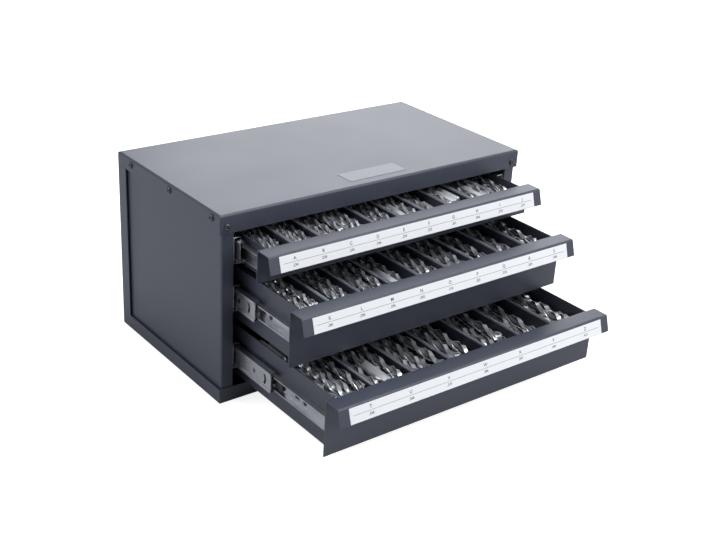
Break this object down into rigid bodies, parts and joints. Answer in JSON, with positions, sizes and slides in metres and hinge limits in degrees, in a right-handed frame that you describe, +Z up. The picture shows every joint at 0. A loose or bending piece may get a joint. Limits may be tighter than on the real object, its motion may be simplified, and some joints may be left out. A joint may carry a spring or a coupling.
{
  "type": "drill bit drawer case",
  "caption": "Sheet steel case with drawers on ball slides, divided into compartments for drill bits sorted by letter size.",
  "frame": {"origin": "centre of the case's footprint, on the underside of its base", "axes": "+Z up, the drawers open towards -Y, +X to the right of someone who faces the drawers"},
  "size_m": [0.3756, 0.369, 0.197],
  "materials": {
    "case_paint": "satin blue-grey enamel",
    "tray_paint": "satin blue-grey enamel",
    "zinc_plate": "bright zinc plate",
    "case_screw": "blackened steel, enamelled over",
    "black_screw": "black oxide",
    "ball_steel": "polished",
    "drill_steel": "bright ground",
    "label_card": "matt white film",
    "black_plastic": "moulded"
  },
  "bodies": {
    "cabinet": {"top_cover": "case_paint", "back_and_base_wrap": "case_paint", "left_side_panel": "case_paint", "right_side_panel": "case_paint", "left_rear_post": "case_paint", "right_rear_post": "case_paint", "cover_screws": "case_screw", "drawer_1_left_outer_rail": "zinc_plate", "drawer_1_right_outer_rail": "zinc_plate", "drawer_2_left_outer_rail": "zinc_plate", "drawer_2_right_outer_rail": "zinc_plate", "drawer_3_left_outer_rail": "zinc_plate", "drawer_3_right_outer_rail": "zinc_plate"},
    "drawer_1": {"drawer_1_tray": "tray_paint", "drawer_1_front": "case_paint", "drawer_1_label": "label_card", "drawer_1_partitions": "tray_paint", "drawer_1_drill_bits": "drill_steel", "drawer_1_left_inner_rail": "zinc_plate", "drawer_1_right_inner_rail": "zinc_plate", "drawer_1_inner_screws": "black_screw"},
    "drawer_1_middle_rails": {"drawer_1_left_middle_rail": "zinc_plate", "drawer_1_right_middle_rail": "zinc_plate"},
    "drawer_1_outer_ball_cages": {"drawer_1_outer_cages": "zinc_plate", "drawer_1_outer_balls": "ball_steel"},
    "drawer_1_inner_ball_cages": {"drawer_1_inner_cages": "zinc_plate", "drawer_1_inner_balls": "ball_steel"},
    "drawer_1_levers": {"drawer_1_release_levers": "black_plastic"},
    "drawer_2": {"drawer_2_tray": "tray_paint", "drawer_2_front": "case_paint", "drawer_2_label": "label_card", "drawer_2_partitions": "tray_paint", "drawer_2_drill_bits": "drill_steel", "drawer_2_left_inner_rail": "zinc_plate", "drawer_2_right_inner_rail": "zinc_plate", "drawer_2_inner_screws": "black_screw"},
    "drawer_2_middle_rails": {"drawer_2_left_middle_rail": "zinc_plate", "drawer_2_right_middle_rail": "zinc_plate"},
    "drawer_2_outer_ball_cages": {"drawer_2_outer_cages": "zinc_plate", "drawer_2_outer_balls": "ball_steel"},
    "drawer_2_inner_ball_cages": {"drawer_2_inner_cages": "zinc_plate", "drawer_2_inner_balls": "ball_steel"},
    "drawer_2_levers": {"drawer_2_release_levers": "black_plastic"},
    "drawer_3": {"drawer_3_tray": "tray_paint", "drawer_3_front": "case_paint", "drawer_3_label": "label_card", "drawer_3_partitions": "tray_paint", "drawer_3_drill_bits": "drill_steel", "drawer_3_left_inner_rail": "zinc_plate", "drawer_3_right_inner_rail": "zinc_plate", "drawer_3_inner_screws": "black_screw"},
    "drawer_3_middle_rails": {"drawer_3_left_middle_rail": "zinc_plate", "drawer_3_right_middle_rail": "zinc_plate"},
    "drawer_3_outer_ball_cages": {"drawer_3_outer_cages": "zinc_plate", "drawer_3_outer_balls": "ball_steel"},
    "drawer_3_inner_ball_cages": {"drawer_3_inner_cages": "zinc_plate", "drawer_3_inner_balls": "ball_steel"},
    "drawer_3_levers": {"drawer_3_release_levers": "black_plastic"}
  },
  "joints": [
    {"name": "drawer_1_slide", "type": "slide", "parent": "cabinet", "child": "drawer_1", "axis": [0, -1, 0], "range_m": [-0.0371, 0.1409]},
    {"name": "drawer_1_middle_rails_slide", "type": "slide", "parent": "cabinet", "child": "drawer_1_middle_rails", "axis": [0, -1, 0], "range_m": [-0.01855, 0.07045]},
    {"name": "drawer_1_outer_ball_cages_slide", "type": "slide", "parent": "cabinet", "child": "drawer_1_outer_ball_cages", "axis": [0, -1, 0], "range_m": [-0.00928, 0.03522]},
    {"name": "drawer_1_inner_ball_cages_slide", "type": "slide", "parent": "cabinet", "child": "drawer_1_inner_ball_cages", "axis": [0, -1, 0], "range_m": [-0.02782, 0.10568]},
    {"name": "drawer_1_lever_tilt", "type": "hinge", "parent": "drawer_1", "child": "drawer_1_levers", "pos_m": [0, -0.0431, 0.1577], "axis": [1, 0, 0], "range_deg": [-5, 5]},
    {"name": "drawer_2_slide", "type": "slide", "parent": "cabinet", "child": "drawer_2", "axis": [0, -1, 0], "range_m": [-0.0907, 0.0873]},
    {"name": "drawer_2_middle_rails_slide", "type": "slide", "parent": "cabinet", "child": "drawer_2_middle_rails", "axis": [0, -1, 0], "range_m": [-0.04535, 0.04365]},
    {"name": "drawer_2_outer_ball_cages_slide", "type": "slide", "parent": "cabinet", "child": "drawer_2_outer_ball_cages", "axis": [0, -1, 0], "range_m": [-0.02268, 0.02183]},
    {"name": "drawer_2_inner_ball_cages_slide", "type": "slide", "parent": "cabinet", "child": "drawer_2_inner_ball_cages", "axis": [0, -1, 0], "range_m": [-0.06803, 0.06548]},
    {"name": "drawer_2_lever_tilt", "type": "hinge", "parent": "drawer_2", "child": "drawer_2_levers", "pos_m": [0, -0.0967, 0.1084], "axis": [1, 0, 0], "range_deg": [-5, 5]},
    {"name": "drawer_3_slide", "type": "slide", "parent": "cabinet", "child": "drawer_3", "axis": [0, -1, 0], "range_m": [-0.1485, 0.0295]},
    {"name": "drawer_3_middle_rails_slide", "type": "slide", "parent": "cabinet", "child": "drawer_3_middle_rails", "axis": [0, -1, 0], "range_m": [-0.07425, 0.01475]},
    {"name": "drawer_3_outer_ball_cages_slide", "type": "slide", "parent": "cabinet", "child": "drawer_3_outer_ball_cages", "axis": [0, -1, 0], "range_m": [-0.03712, 0.00737]},
    {"name": "drawer_3_inner_ball_cages_slide", "type": "slide", "parent": "cabinet", "child": "drawer_3_inner_ball_cages", "axis": [0, -1, 0], "range_m": [-0.11138, 0.02212]},
    {"name": "drawer_3_lever_tilt", "type": "hinge", "parent": "drawer_3", "child": "drawer_3_levers", "pos_m": [0, -0.1545, 0.047], "axis": [1, 0, 0], "range_deg": [-5, 5]}
  ],
  "couplings": [
    {"joint": "drawer_1_middle_rails_slide", "follows": "drawer_1_slide", "ratio": 0.5},
    {"joint": "drawer_1_outer_ball_cages_slide", "follows": "drawer_1_slide", "ratio": 0.25},
    {"joint": "drawer_1_inner_ball_cages_slide", "follows": "drawer_1_slide", "ratio": 0.75},
    {"joint": "drawer_2_middle_rails_slide", "follows": "drawer_2_slide", "ratio": 0.5},
    {"joint": "drawer_2_outer_ball_cages_slide", "follows": "drawer_2_slide", "ratio": 0.25},
    {"joint": "drawer_2_inner_ball_cages_slide", "follows": "drawer_2_slide", "ratio": 0.75},
    {"joint": "drawer_3_middle_rails_slide", "follows": "drawer_3_slide", "ratio": 0.5},
    {"joint": "drawer_3_outer_ball_cages_slide", "follows": "drawer_3_slide", "ratio": 0.25},
    {"joint": "drawer_3_inner_ball_cages_slide", "follows": "drawer_3_slide", "ratio": 0.75}
  ]
}
